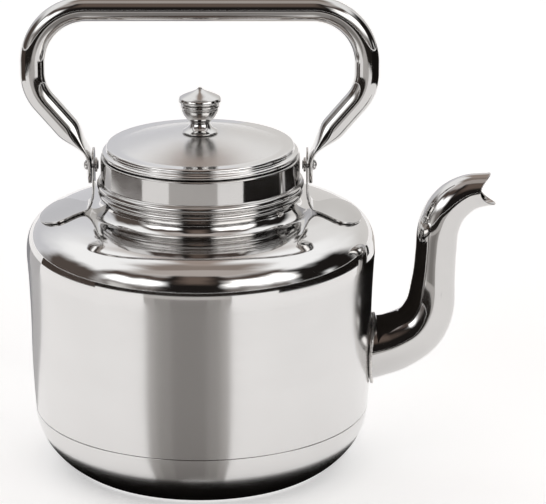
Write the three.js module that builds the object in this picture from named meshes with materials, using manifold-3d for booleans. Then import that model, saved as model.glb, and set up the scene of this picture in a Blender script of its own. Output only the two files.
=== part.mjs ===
// Stovetop kettle in polished stainless steel: a drum body on a rounded base pan, a beaded neck collar, a
// lift-off lid with a turned knob, a swinging bail handle on two riveted brackets, and a swan-neck spout.
// Units are millimetres. +Z is up, the spout points along +X, and the origin is the centre of the base.

import * as THREE from 'three';
import { mergeVertices } from 'three/addons/utils/BufferGeometryUtils.js';
import Module from 'manifold-3d';

const wasm = await Module();
wasm.setup();

// ---------------------------------------------------------------- driving dimensions

const SEGMENTS = 40;               // facets round the body, collar and lid
const SHEET = 0.9;                 // thickness of the drawn steel sheet
const GAP = 0.3;                   // clearance between pieces that meet

const BASE_RADIUS = 86.5;          // flat underside
const SEAM_Z = 40.5;               // weld line between the base pan and the wall
const SEAM_RADIUS = 115.2;
const WALL_RADIUS = 117.3;         // narrowest part of the drum wall, at WAIST_Z
const WAIST_Z = 90;
const SHOULDER_Z = 150.4;          // where the wall starts to turn over
const SHOULDER_RADIUS = 119.5;     // widest part of the body

const NECK_RADIUS = 66;            // outside of the neck drawn up from the shoulder
const NECK_ROOT_Z = 180.2;
const NECK_TOP_Z = 204.5;
const NECK_FILLET = 9;

const COLLAR_FOOT_Z = 188.6;
const BAND_RADIUS = 68;            // plain band of the collar, under the lid
const BAND_FOOT_Z = 202.6;
const BAND_TOP_Z = 218.9;
const UPPER_BEAD = { radius: 70.8, z: 199.4, half: 2.7 };
const LOWER_BEAD = { radius: 69.9, z: 193.4, half: 2.3 };
const MOUTH_RADIUS = 62.9;         // inside of the lip that the lid rests on

const LID_CROWN_RADIUS = 55.3;
const LID_SEAT_RADIUS = 13;        // flat middle of the lid, under the knob's foot
const LID_RIM_Z = 226.5;
const LID_APEX_Z = 234.4;
const LID_FOOT_Z = BAND_TOP_Z + GAP + 0.1;
const SKIRT_RADIUS = 61.5;
const SKIRT_FOOT_Z = 208;

const KNOB_FOOT_Z = LID_APEX_Z + GAP;
const KNOB_WAIST_Z = 241.8;
const KNOB_BOWL_TOP_Z = 255.1;
const KNOB_TOP_Z = 266.4;
const SCREW_RADIUS = 2;
const SCREW_HOLE_RADIUS = 2.4;

const HANDLE_RADIUS = 8.4;
const HANDLE_WALL = 1.2;
const HANDLE_BAR_Z = 320.6;
const PIVOT_Z = 211.6;
const TAB_X = 75.2;                // mid-plane of the flattened handle end
const TAB_FOOT_Z = 198.6;
const TAB_HALF_THICKNESS = 1.35;
const TAB_HALF_WIDTH = 12;

const BRACKET_X = 72.8;            // mid-plane of the bracket's upright tab
const BRACKET_THICKNESS = 1.4;
const BRACKET_TOP_Z = 223.6;
const BRACKET_TIP_X = 110.2;       // outer end of the leaf that lies on the shoulder
const BRACKET_LEAF_X = 96;         // where the leaf is widest
const BRACKET_LEAF_HALF_WIDTH = 27;
const BRACKET_TAB_HALF_WIDTH = 11.5;

const RIVET_RADIUS = 2.3;
const RIVET_HOLE_RADIUS = 2.7;
const RIVET_HEAD_RADIUS = 3.6;
const BURR_RADIUS = 5;

const SPOUT_WALL = 1;
const SPOUT_TILT = THREE.MathUtils.degToRad(16);
const SPOUT_ROOT = { x: 117, z: 79.2 };
const SPOUT_HOLE_RADIUS = 16.5;
const SPOUT_LIP_NOTCH = 9;         // how far the sides of the mouth sit behind its lips
const WELD_RADIUS = 1.5;

// ---------------------------------------------------------------- materials

const STEEL = new THREE.Color(0.78, 0.775, 0.765);

function steel(roughness) {
  return new THREE.MeshStandardMaterial({ color: STEEL, roughness, metalness: 1 });
}

const SATIN = steel(0.3);
const MIRROR = steel(0.06);
const RIVET = steel(0.25);
const WELD = steel(0.35);

// ---------------------------------------------------------------- helpers

const { clamp, lerp, smoothstep } = THREE.MathUtils;

function point(r, z) {
  return new THREE.Vector2(r, z);
}

// Points on an arc of centre (r, z), from one angle to another in degrees.
function arc(r, z, radius, from, to, steps) {
  const points = [];
  for (let i = 0; i <= steps; i++) {
    const a = THREE.MathUtils.degToRad(lerp(from, to, i / steps));
    points.push(point(r + radius * Math.cos(a), z + radius * Math.sin(a)));
  }
  return points;
}

// The same outline moved inwards by one sheet thickness, in reverse order, so that it closes a thin wall.
function innerSide(outer, thickness = SHEET) {
  const moved = outer.map((p, i) => {
    const before = outer[Math.max(i - 1, 0)];
    const after = outer[Math.min(i + 1, outer.length - 1)];
    const along = after.clone().sub(before).normalize();
    return point(p.x - along.y * thickness, p.y + along.x * thickness);
  });
  return moved.reverse();
}

// A solid of revolution about Z. The outline runs up the outside; a hollow one is closed on itself.
function turned(outline, hollow = true, segments = SEGMENTS) {
  const points = hollow ? [...outline, outline[0].clone()] : outline;
  const geometry = new THREE.LatheGeometry(points, segments);
  geometry.rotateX(Math.PI / 2);
  return geometry;
}

function welded(geometry) {
  const bare = geometry.clone();
  bare.deleteAttribute('normal');
  bare.deleteAttribute('uv');
  return mergeVertices(bare, 1e-4);
}

function toSolid(geometry) {
  const merged = welded(geometry);
  const vertProperties = Float32Array.from(merged.attributes.position.array);
  const triVerts = Uint32Array.from(merged.index.array);
  return new wasm.Manifold(new wasm.Mesh({ numProp: 3, vertProperties, triVerts }));
}

function cut(geometry, tool) {
  const mesh = toSolid(geometry).subtract(toSolid(tool)).getMesh();
  const result = new THREE.BufferGeometry();
  result.setAttribute('position', new THREE.BufferAttribute(mesh.vertProperties, 3));
  result.setIndex(new THREE.BufferAttribute(mesh.triVerts, 1));
  return result;
}

// Skins a row of equal rings. The ends are capped, or the last ring joins the first when the row is a loop.
function skin(rings, loop = false) {
  const size = rings[0].length;
  const positions = rings.flat().flatMap((p) => [p.x, p.y, p.z]);
  const index = [];
  const bands = loop ? rings.length : rings.length - 1;
  for (let i = 0; i < bands; i++) {
    const a = i * size;
    const b = ((i + 1) % rings.length) * size;
    for (let j = 0; j < size; j++) {
      const k = (j + 1) % size;
      index.push(a + j, a + k, b + k, a + j, b + k, b + j);
    }
  }
  if (!loop) {
    const last = (rings.length - 1) * size;
    for (let j = 1; j < size - 1; j++) {
      index.push(0, j + 1, j);
      index.push(last, last + j, last + j + 1);
    }
  }
  const geometry = new THREE.BufferGeometry();
  geometry.setAttribute('position', new THREE.Float32BufferAttribute(positions, 3));
  geometry.setIndex(index);
  return geometry;
}

const kettle = new THREE.Group();

function add(name, geometry, material) {
  const mesh = new THREE.Mesh(geometry, material);
  mesh.name = name;
  kettle.add(mesh);
}

// The same piece on both sides: the left one is the right one turned half round the kettle's axis.
function addPair(name, geometry, material) {
  add(`${name}_right`, geometry, material);
  add(`${name}_left`, geometry.clone().rotateZ(Math.PI), material);
}

// ---------------------------------------------------------------- body

function wallRadius(z) {
  if (z < WAIST_Z) {
    return WALL_RADIUS - (WALL_RADIUS - SEAM_RADIUS) * ((WAIST_Z - z) / (WAIST_Z - SEAM_Z)) ** 2;
  }
  return WALL_RADIUS + (SHOULDER_RADIUS - WALL_RADIUS) * ((z - WAIST_Z) / (SHOULDER_Z - WAIST_Z)) ** 2;
}

const shoulderCurve = new THREE.CubicBezierCurve(
  point(SHOULDER_RADIUS, SHOULDER_Z),
  point(SHOULDER_RADIUS, 165.7),
  point(118, 181.5),
  point(NECK_RADIUS, NECK_ROOT_Z),
);

// Height of the shoulder's outer surface at a distance from the axis.
function shoulderHeight(radius) {
  let low = 0;
  let high = 1;
  for (let i = 0; i < 30; i++) {
    const middle = (low + high) / 2;
    if (shoulderCurve.getPoint(middle).x > radius) low = middle;
    else high = middle;
  }
  return shoulderCurve.getPoint(low).y;
}

function basePan() {
  const corner = new THREE.CubicBezierCurve(
    point(BASE_RADIUS, 0), point(103, 8), point(SEAM_RADIUS - 0.2, 24), point(SEAM_RADIUS, SEAM_Z - GAP / 2),
  );
  const outer = [point(0, 0), ...corner.getPoints(6)];
  const inner = innerSide(outer);
  inner[0].y = SEAM_Z - GAP / 2;
  inner[inner.length - 1].set(0, SHEET);
  return turned([...outer, ...inner], false);
}

function bodyShell() {
  const outer = [];
  for (const z of [SEAM_Z + GAP / 2, 56, 72, WAIST_Z, 110, 130]) {
    outer.push(point(wallRadius(z), z));
  }
  const turn = NECK_RADIUS + NECK_FILLET;
  outer.push(...shoulderCurve.getPoints(9).filter((p) => p.x > turn + 2));
  outer.push(...arc(turn, shoulderHeight(turn) + NECK_FILLET, NECK_FILLET, 270, 180, 4));
  outer.push(point(NECK_RADIUS, NECK_TOP_Z));
  const inner = innerSide(outer);
  inner[inner.length - 1].y = SEAM_Z + GAP / 2;
  inner[0].y = NECK_TOP_Z;

  const drill = new THREE.CylinderGeometry(SPOUT_HOLE_RADIUS, SPOUT_HOLE_RADIUS, 30, 24);
  drill.rotateZ(SPOUT_TILT - Math.PI / 2);
  drill.translate(SPOUT_ROOT.x, 0, SPOUT_ROOT.z);
  return cut(turned([...outer, ...inner]), drill);
}

// Half of a rolled bead, bulging from the collar's plain line out to its full radius.
function bead({ radius, z, half }, root) {
  const depth = radius - root;
  return [-1, -0.5, 0, 0.5, 1].map((t) => point(root + depth * Math.sqrt(1 - t * t), z + t * half));
}

function neckCollar() {
  const sleeve = NECK_RADIUS + GAP;
  const outer = [
    point(sleeve, COLLAR_FOOT_Z),
    point(sleeve + SHEET, COLLAR_FOOT_Z),
    ...bead(LOWER_BEAD, BAND_RADIUS),
    ...bead(UPPER_BEAD, BAND_RADIUS + 0.4),
    point(BAND_RADIUS, BAND_FOOT_Z),
    point(BAND_RADIUS, BAND_TOP_Z - 1),
    point(BAND_RADIUS - 1, BAND_TOP_Z),
  ];
  const inner = [
    point(MOUTH_RADIUS, BAND_TOP_Z),
    point(MOUTH_RADIUS, BAND_TOP_Z - SHEET),
    point(BAND_RADIUS - SHEET, BAND_TOP_Z - SHEET - 1),
    point(BAND_RADIUS - SHEET, NECK_TOP_Z),
    point(sleeve, NECK_TOP_Z - 1),
  ];
  return turned([...outer, ...inner]);
}

// ---------------------------------------------------------------- lid and knob

function crownHeight(radius) {
  const t = Math.max(radius - LID_SEAT_RADIUS, 0) / (LID_CROWN_RADIUS - LID_SEAT_RADIUS);
  return LID_RIM_Z + (LID_APEX_Z - LID_RIM_Z) * (1 - t ** 1.5);
}

function lidShell() {
  const crown = [SCREW_HOLE_RADIUS, LID_SEAT_RADIUS, 20, 28, 36, 44, 50, LID_CROWN_RADIUS];
  const rim = [
    point(SKIRT_RADIUS - 4.5, LID_RIM_Z - 0.3),
    point(SKIRT_RADIUS + 0.5, LID_RIM_Z),
    ...arc(62.2, 224.7, 1.9, 60, -30, 3),
    point(64.3, 222.9),
    ...arc(65.5, 221, 1.5, 80, -70, 4),
  ];
  const top = [...crown.map((r) => point(r, crownHeight(r))), ...rim];
  const under = [
    point(65, LID_FOOT_Z),
    point(64.9, 221.3),
    point(63.1, 222.3),
    point(62.9, 224.3),
    point(61.7, 225.5),
    point(SKIRT_RADIUS - 4.5, LID_RIM_Z - 1.2),
    ...crown.map((r) => point(r, crownHeight(r) - SHEET)).reverse(),
  ];
  return turned([...top, ...under].reverse());
}

function lidSkirt() {
  const top = LID_RIM_Z - SHEET - 0.6;
  return turned([
    point(SKIRT_RADIUS, SKIRT_FOOT_Z),
    point(SKIRT_RADIUS, top),
    point(SKIRT_RADIUS - SHEET, top),
    point(SKIRT_RADIUS - SHEET, SKIRT_FOOT_Z),
  ]);
}

const KNOB_SEGMENTS = 20;

function knobFoot() {
  return turned([
    point(SCREW_HOLE_RADIUS, KNOB_FOOT_Z),
    point(11.6, KNOB_FOOT_Z),
    point(12.3, KNOB_FOOT_Z + 0.6),
    point(9.2, 238.2),
    point(6.7, KNOB_WAIST_Z - GAP),
    point(SCREW_HOLE_RADIUS, KNOB_WAIST_Z - GAP),
  ], true, KNOB_SEGMENTS);
}

function knobBowl() {
  const blindEnd = KNOB_BOWL_TOP_Z - 3.5;
  return turned([
    point(SCREW_HOLE_RADIUS, KNOB_WAIST_Z),
    point(6.6, KNOB_WAIST_Z),
    point(9.6, 244.6),
    point(11.5, 247.8),
    point(12.6, 251.2),
    point(12.4, 252.2),
    point(13.4, 253.1),
    point(13.2, 254.3),
    point(12.4, KNOB_BOWL_TOP_Z),
    point(0, KNOB_BOWL_TOP_Z),
    point(0, blindEnd),
    point(SCREW_HOLE_RADIUS, blindEnd),
    point(SCREW_HOLE_RADIUS, KNOB_WAIST_Z),
  ], false, KNOB_SEGMENTS);
}

function knobCap() {
  const foot = KNOB_BOWL_TOP_Z + GAP;
  return turned([
    point(0, foot),
    point(13, foot),
    point(14.4, 256.4),
    point(14.6, 257.8),
    point(13.2, 260.2),
    point(7.8, 263.7),
    point(1.6, 265),
    point(1.3, KNOB_TOP_Z - 0.4),
    point(0, KNOB_TOP_Z),
  ], false, KNOB_SEGMENTS);
}

const LID_UNDERSIDE_Z = LID_APEX_Z - SHEET - GAP;

function knobWasher() {
  return turned([
    point(SCREW_HOLE_RADIUS, LID_UNDERSIDE_Z - 1),
    point(6, LID_UNDERSIDE_Z - 1),
    point(6, LID_UNDERSIDE_Z),
    point(SCREW_HOLE_RADIUS, LID_UNDERSIDE_Z),
  ], true, 20);
}

function knobScrew() {
  const seat = LID_UNDERSIDE_Z - 1 - GAP;
  return turned([
    point(0, seat - 2.6),
    point(3, seat - 2.4),
    point(4, seat - 1.2),
    point(4, seat),
    point(SCREW_RADIUS, seat),
    point(SCREW_RADIUS, KNOB_BOWL_TOP_Z - 5),
    point(0, KNOB_BOWL_TOP_Z - 4.4),
  ], false, 16);
}

// ---------------------------------------------------------------- handle, brackets and rivets

// Right half of the handle's centre line in the XZ plane, from the middle of the bar to the foot of the tab.
function handleHalfPath() {
  const path = new THREE.Path();
  path.moveTo(0, HANDLE_BAR_Z);
  path.lineTo(76, HANDLE_BAR_Z);
  path.absarc(76, HANDLE_BAR_Z - 37, 37, Math.PI / 2, 0, true);
  path.lineTo(113, 276);
  path.absarc(82, 276, 31, 0, -THREE.MathUtils.degToRad(40), true);
  path.lineTo(80, 225.6);
  path.quadraticCurveTo(TAB_X, 220, TAB_X, 213);
  path.lineTo(TAB_X, TAB_FOOT_Z);
  return path;
}

// Fractions of the half path where a ring of the tube is set: few on the bar, close together on the bends.
function handleStations(path) {
  const length = path.getLength();
  const stations = [0, 0.15, 0.27];
  for (let s = 82; s < length - 2; s += s < 190 ? 11 : 7) stations.push(s / length);
  for (const left of [6, 3, 1.2, 0]) stations.push(1 - left / length);
  return stations.filter((s, i) => i === 0 || s > stations[i - 1]);
}

const HANDLE_SIDES = 12;

// One ring of the tube: round on the bar, pressed flat towards the tab, and rounded off at the tab's foot.
function handleRing(centre, normal, shrink) {
  const flat = smoothstep(-centre.y, -238, -221);
  const fromFoot = centre.y - TAB_FOOT_Z;
  const endRound = Math.sqrt(clamp(1 - ((TAB_HALF_WIDTH - fromFoot) / TAB_HALF_WIDTH) ** 2, 0.02, 1));
  const rounding = fromFoot < TAB_HALF_WIDTH ? endRound : 1;
  const thick = Math.max(lerp(HANDLE_RADIUS, TAB_HALF_THICKNESS, flat) - shrink, 0.2);
  const wide = Math.max(lerp(HANDLE_RADIUS, TAB_HALF_WIDTH, flat) * rounding - shrink, 0.3);
  const power = lerp(1, 0.3, flat);
  const ring = [];
  for (let i = 0; i < HANDLE_SIDES; i++) {
    const a = (-2 * Math.PI * (i + 0.5)) / HANDLE_SIDES;
    const across = Math.sign(Math.cos(a)) * Math.abs(Math.cos(a)) ** power * thick;
    ring.push(new THREE.Vector3(centre.x + normal.x * across, wide * Math.sin(a), centre.y + normal.y * across));
  }
  return ring;
}

function handleTube() {
  const path = handleHalfPath();
  const frames = handleStations(path).map((u) => {
    const along = path.getTangentAt(u);
    return { centre: path.getPointAt(u), normal: point(-along.y, along.x) };
  });
  const mirrored = frames.slice(1).reverse().map(({ centre, normal }) => (
    { centre: point(-centre.x, centre.y), normal: point(-normal.x, normal.y) }
  ));
  const full = [...mirrored, ...frames];
  const outside = full.map(({ centre, normal }) => handleRing(centre, normal, 0));
  const inside = full.map(({ centre, normal }) => handleRing(centre, normal, HANDLE_WALL)).reverse();
  const drill = new THREE.CylinderGeometry(RIVET_HOLE_RADIUS, RIVET_HOLE_RADIUS, 200, 16);
  drill.rotateZ(Math.PI / 2);
  drill.translate(0, 0, PIVOT_Z);
  return cut(skin([...outside, ...inside], true), drill);
}

const BRACKET_SLOPE = THREE.MathUtils.degToRad(-12);
const BRACKET_BEND = 15;

// Centre line of the bracket plate: down the tab, round the bend, and out along the shoulder.
function bracketStations() {
  const stations = [];
  for (const z of [BRACKET_TOP_Z, 223.1, 221.6, 218, 205, 199, 195]) {
    stations.push({ x: BRACKET_X, z, normal: 0, pad: 0 });
  }
  const landing = BRACKET_X + BRACKET_BEND;
  for (let i = 1; i <= 5; i++) {
    const turn = i / 5;
    const angle = Math.PI + turn * (Math.PI / 2 + BRACKET_SLOPE);
    const x = landing + BRACKET_BEND * Math.cos(angle);
    const drop = BRACKET_BEND * Math.sin(angle);
    stations.push({ x, z: 195 + drop, normal: angle - Math.PI, pad: smoothstep(turn, 0, 1) });
  }
  for (const x of [89, 92.5, BRACKET_LEAF_X, 100, 103.5, 106.5, 108.8, BRACKET_TIP_X]) {
    stations.push({ x, z: 0, normal: Math.PI / 2 + BRACKET_SLOPE, pad: 1 });
  }
  return stations;
}

function bracketHalfWidth({ x, z }) {
  const tab = BRACKET_TAB_HALF_WIDTH;
  if (x <= BRACKET_X) {
    const fromTop = BRACKET_TOP_Z - z;
    return fromTop > tab ? tab : Math.sqrt(Math.max(tab ** 2 - (tab - fromTop) ** 2, 4));
  }
  if (x < BRACKET_LEAF_X) {
    return lerp(tab, BRACKET_LEAF_HALF_WIDTH, smoothstep(x, BRACKET_X + 4, BRACKET_LEAF_X));
  }
  const toTip = (x - BRACKET_LEAF_X) / (BRACKET_TIP_X - BRACKET_LEAF_X);
  return BRACKET_LEAF_HALF_WIDTH * Math.sqrt(Math.max(1 - toTip ** 2, 0.01));
}

const PLATE_STEPS = 6;

// One ring across the plate: its upper side from edge to edge, then its underside back again.
function bracketRing(station) {
  const half = bracketHalfWidth(station);
  const lift = BRACKET_THICKNESS / 2 + GAP + 0.15;
  const sides = [-1, 1].map((side) => {
    const row = [];
    for (let i = 0; i <= PLATE_STEPS; i++) {
      const y = half * (2 * (i / PLATE_STEPS) - 1);
      const seat = shoulderHeight(Math.max(Math.hypot(station.x, y), NECK_RADIUS + 1)) + lift;
      const z = station.z ? Math.max(lerp(station.z, seat, station.pad), seat) : seat;
      const out = (side * BRACKET_THICKNESS) / 2;
      const dx = out * Math.cos(station.normal);
      const dz = out * Math.sin(station.normal);
      row.push(new THREE.Vector3(station.x + dx, y, z + dz));
    }
    return row;
  });
  return [...sides[0], ...sides[1].reverse()];
}

function bracket() {
  const drill = new THREE.CylinderGeometry(RIVET_HOLE_RADIUS, RIVET_HOLE_RADIUS, 20, 16);
  drill.rotateZ(Math.PI / 2);
  drill.translate(BRACKET_X, 0, PIVOT_Z);
  return cut(skin(bracketStations().map(bracketRing)), drill);
}

// A round piece turned about the pivot line, given as (radius, distance from the kettle's axis) points.
function onPivot(outline, hollow) {
  const geometry = turned(outline, hollow, 12);
  geometry.rotateY(Math.PI / 2);
  geometry.translate(0, 0, PIVOT_Z);
  return geometry;
}

const BURR_X = BRACKET_X - BRACKET_THICKNESS / 2 - GAP;

function rivet() {
  const headX = TAB_X + TAB_HALF_THICKNESS + GAP;
  return onPivot([
    point(0, BURR_X - 2.5),
    point(RIVET_HEAD_RADIUS - 0.6, BURR_X - 2.4),
    point(RIVET_HEAD_RADIUS - 0.2, BURR_X - 1.5 - GAP),
    point(RIVET_RADIUS, BURR_X - 1.5 - GAP),
    point(RIVET_RADIUS, headX),
    point(RIVET_HEAD_RADIUS, headX),
    point(RIVET_HEAD_RADIUS, headX + 1),
    point(RIVET_HEAD_RADIUS * 0.72, headX + 2.1),
    point(0, headX + 2.7),
  ], false);
}

function burr() {
  return onPivot([
    point(RIVET_HOLE_RADIUS, BURR_X - 1.5),
    point(BURR_RADIUS, BURR_X - 1.5),
    point(BURR_RADIUS, BURR_X),
    point(RIVET_HOLE_RADIUS, BURR_X),
  ], true);
}

// ---------------------------------------------------------------- spout

// Centre line of the spout in the XZ plane: out of the wall, up, and over to the mouth.
const spoutLine = new THREE.CatmullRomCurve3([
  new THREE.Vector3(SPOUT_ROOT.x, 0, SPOUT_ROOT.z),
  new THREE.Vector3(134, 0, 84.3),
  new THREE.Vector3(149.5, 0, 94),
  new THREE.Vector3(157.2, 0, 107.5),
  new THREE.Vector3(160, 0, 128),
  new THREE.Vector3(161.5, 0, 150),
  new THREE.Vector3(163, 0, 167),
  new THREE.Vector3(169.5, 0, 181.5),
  new THREE.Vector3(182, 0, 191.2),
  new THREE.Vector3(200, 0, 194.6),
]);

// Outer radius of the spout along its length: wide at the root, slim at the neck, easing out at the lips.
function spoutRadius(t) {
  return 11.2 + 10.2 * Math.exp(-(((t + 0.05) / 0.5) ** 2)) + 2 * smoothstep(t, 0.45, 0.75) * (1 - smoothstep(t, 0.8, 1));
}

const SPOUT_SIDES = 16;
const SPOUT_RINGS = 20;

// A point on the spout at fraction t of its length and angle a round it, on the outer or the inner skin.
function spoutPoint(t, a, shrink) {
  const notch = SPOUT_LIP_NOTCH * Math.sin(a) ** 2 / spoutLine.getLength();
  const u = t * (1 - notch);
  const centre = spoutLine.getPointAt(u);
  const along = spoutLine.getTangentAt(u);
  const up = new THREE.Vector3(-along.z, 0, along.x);
  const radius = spoutRadius(t) - shrink;
  const result = centre.clone().addScaledVector(up, radius * Math.cos(a));
  result.y += radius * Math.sin(a);
  return result;
}

// The root ring slid along the spout's own direction until it stands just clear of the wall.
function spoutRootPoint(a, shrink) {
  const p = spoutPoint(0, a, shrink);
  const along = spoutLine.getTangentAt(0);
  for (let i = 0; i < 12; i++) {
    const clear = wallRadius(p.z) + GAP - Math.hypot(p.x, p.y);
    p.addScaledVector(along, clear / along.x);
  }
  return p;
}

function spoutSkin(shrink) {
  const rings = [];
  for (let i = 0; i <= SPOUT_RINGS; i++) {
    const t = i / SPOUT_RINGS;
    const ring = [];
    for (let j = 0; j < SPOUT_SIDES; j++) {
      const a = (-2 * Math.PI * j) / SPOUT_SIDES;
      ring.push(i === 0 ? spoutRootPoint(a, shrink) : spoutPoint(t, a, shrink));
    }
    rings.push(ring);
  }
  return rings;
}

function spout() {
  return skin([...spoutSkin(0), ...spoutSkin(SPOUT_WALL).reverse()], true);
}

// Bead of weld metal in the corner between the wall and the spout's root.
function spoutWeld() {
  const stand = WELD_RADIUS + GAP + 0.1;
  const loop = [];
  for (let j = 0; j < 24; j++) {
    const p = spoutRootPoint((2 * Math.PI * j) / 24, -stand);
    const scale = 1 + stand / Math.hypot(p.x, p.y);
    loop.push(new THREE.Vector3(p.x * scale, p.y * scale, p.z));
  }
  const line = new THREE.CatmullRomCurve3(loop, true);
  return new THREE.TubeGeometry(line, 24, WELD_RADIUS, 5, true);
}

// ---------------------------------------------------------------- assembly

add('base_pan', basePan(), SATIN);
add('body_shell', bodyShell(), SATIN);
add('neck_collar', neckCollar(), MIRROR);
add('spout', spout(), MIRROR);
add('spout_weld_bead', spoutWeld(), WELD);

addPair('handle_bracket', bracket(), MIRROR);
addPair('handle_rivet', rivet(), RIVET);
addPair('rivet_burr', burr(), RIVET);
add('handle_tube', handleTube(), MIRROR);

add('lid_shell', lidShell(), MIRROR);
add('lid_skirt', lidSkirt(), MIRROR);
add('knob_foot', knobFoot(), MIRROR);
add('knob_bowl', knobBowl(), MIRROR);
add('knob_cap', knobCap(), MIRROR);
add('knob_washer', knobWasher(), RIVET);
add('knob_screw', knobScrew(), RIVET);

export default kettle;
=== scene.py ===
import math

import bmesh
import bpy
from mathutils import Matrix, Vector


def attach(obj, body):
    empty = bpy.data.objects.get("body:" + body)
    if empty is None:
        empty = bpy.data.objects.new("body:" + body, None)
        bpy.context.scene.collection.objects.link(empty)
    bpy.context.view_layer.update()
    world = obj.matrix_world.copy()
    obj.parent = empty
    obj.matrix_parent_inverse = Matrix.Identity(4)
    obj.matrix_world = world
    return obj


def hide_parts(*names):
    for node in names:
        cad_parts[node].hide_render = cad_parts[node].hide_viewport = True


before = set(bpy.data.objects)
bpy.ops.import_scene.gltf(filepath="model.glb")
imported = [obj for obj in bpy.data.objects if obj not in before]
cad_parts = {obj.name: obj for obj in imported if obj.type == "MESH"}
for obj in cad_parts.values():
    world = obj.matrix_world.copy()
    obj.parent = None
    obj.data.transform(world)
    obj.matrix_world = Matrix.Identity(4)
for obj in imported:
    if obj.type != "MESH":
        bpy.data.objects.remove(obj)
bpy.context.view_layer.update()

# Stovetop kettle in polished stainless steel. Every CAD node is replaced by a fine surface of its own.
# Outlines are in millimetres, as on a drawing of the kettle, and become metres where the meshes are made.
# Material nodes work in metres, because they read the place of a point on the finished object.

MM = 0.001
ROUND = 224                     # facets round the body, collar and lid
FINE = 96                       # facets round the knob and other small turned pieces
SHARP_ANGLE = 38                # degrees at which an edge stays sharp

# ---------------------------------------------------------------- sizes, in millimetres

SHEET = 0.9                     # thickness of the drawn sheet
GAP = 0.3                       # clearance between pieces that lie against each other
EDGE = 0.35                     # easing of a cut edge of the sheet

BASE_RADIUS = 86.5
BASE_HOLLOW = 60                # radius of the raised middle of the base
SEAM_Z = 40.5
SEAM_RADIUS = 115.2
WALL_RADIUS = 117.3
WAIST_Z = 90
SHOULDER_Z = 150.4
SHOULDER_RADIUS = 119.5
NECK_RADIUS = 66
NECK_ROOT_Z = 180.2
NECK_TOP_Z = 204.5
NECK_FILLET = 9

COLLAR_FOOT_Z = 188.6
BAND_RADIUS = 68
BAND_FOOT_Z = 202.6
BAND_TOP_Z = 218.9
UPPER_BEAD = (70.8, 199.4, 2.7)     # radius, height, half width
LOWER_BEAD = (69.9, 193.4, 2.3)
MOUTH_RADIUS = 62.9

CROWN_RADIUS = 55.3
LID_SEAT_RADIUS = 13            # flat middle of the lid, under the knob's foot
LID_RIM_Z = 226.5
LID_APEX_Z = 234.4
LID_FOOT_Z = 219.3
SKIRT_RADIUS = 61.5
SKIRT_FOOT_Z = 208

KNOB_FOOT_Z = 234.7
KNOB_WAIST_Z = 241.8
BOWL_TOP_Z = 255.1
KNOB_TOP_Z = 266.4
SCREW_RADIUS = 2
SCREW_HOLE = 2.4
LID_UNDERSIDE_Z = LID_APEX_Z - SHEET - GAP

HANDLE_RADIUS = 8.4
HANDLE_BAR_Z = 320.6
HANDLE_BAR_X = 76               # where the straight bar ends
HANDLE_CORNER = 37              # radius of the corners beside the bar
HANDLE_CHEEK = (82, 276, 31)    # centre and radius of the arc that turns the side back inwards
HANDLE_CHEEK_END = -40          # angle at which that arc ends, in degrees
HANDLE_KNEE = (80, 225.6)       # where the side bends into the tab
FLATTENING_Z = (221, 238)       # the tube is flat below the first height and round above the second
PIVOT_Z = 211.6
TAB_X = 75.2
TAB_FOOT_Z = 198.6
TAB_HALF_THICKNESS = 1.35
TAB_HALF_WIDTH = 12

BRACKET_X = 72.8
BRACKET_THICKNESS = 1.4
BRACKET_TOP_Z = 223.6
BRACKET_FOOT_Z = 195
BRACKET_BEND = 15
BRACKET_SLOPE = math.radians(-12)
LEAF_START_X = 86
LEAF_X = 96                     # the leaf is widest here
LEAF_TIP_X = 110.2
LEAF_HALF_WIDTH = 27
PLATE_HALF_WIDTH = 11.5

RIVET_RADIUS = 2.3
RIVET_HOLE = 2.7
RIVET_HEAD = 3.6
BURR_RADIUS = 5
BURR_X = BRACKET_X - BRACKET_THICKNESS / 2 - GAP

SPOUT_WALL = 1
SPOUT_TILT = math.radians(16)
SPOUT_ROOT = (117, 79.2)
SPOUT_HOLE = 16.5
SPOUT_SLIM_RADIUS = 11.2
SPOUT_ROOT_FLARE = 10.2
SPOUT_SWELL = 2
SPOUT_SIDES = 72
LIP_NOTCH = 9
WELD_RADIUS = 1.1               # finer than the CAD bead, which is 1.5
WELD_RIPPLES = 66
RIPPLE_STEPS = 6                # rings in one ripple

# ---------------------------------------------------------------- outlines


def lerp(a, b, t):
    return a + (b - a) * t


def smoothstep(x, low, high):
    t = min(max((x - low) / (high - low), 0), 1)
    return t * t * (3 - 2 * t)


def spread(low, high, steps):
    """Evenly spaced values from low to high, both included."""
    return [lerp(low, high, i / steps) for i in range(steps + 1)]


def arc(r, z, radius, start, end, steps=12):
    """Points on an arc of centre (r, z), from one angle to another in degrees."""
    angles = [math.radians(a) for a in spread(start, end, steps)]
    return [(r + radius * math.cos(a), z + radius * math.sin(a)) for a in angles]


def bezier(p0, p1, p2, p3, steps):
    """Points on a cubic curve from p0 to p3."""
    points = []
    for t in spread(0, 1, steps):
        weights = ((1 - t) ** 3, 3 * t * (1 - t) ** 2, 3 * t * t * (1 - t), t ** 3)
        points.append(tuple(sum(w * p[i] for w, p in zip(weights, (p0, p1, p2, p3))) for i in (0, 1)))
    return points


def eased(outline, radius, steps=5, closed=True):
    """The outline with each clear corner eased by a small curve, no longer than its two sides allow."""
    points = [Vector(p) for p in outline]
    result = []
    for i, corner in enumerate(points):
        before = points[i - 1]
        after = points[(i + 1) % len(points)]
        to_before = before - corner
        to_after = after - corner
        ends = not closed and i in (0, len(points) - 1)
        if ends or not to_before.length or not to_after.length or to_before.angle(to_after) > 2.7:
            result.append(tuple(corner))
            continue
        reach = min(radius, 0.45 * to_before.length, 0.45 * to_after.length)
        start = corner + to_before.normalized() * reach
        end = corner + to_after.normalized() * reach
        for t in spread(0, 1, steps):
            result.append(tuple(start * (1 - t) ** 2 + corner * 2 * t * (1 - t) + end * t * t))
    return result


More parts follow.
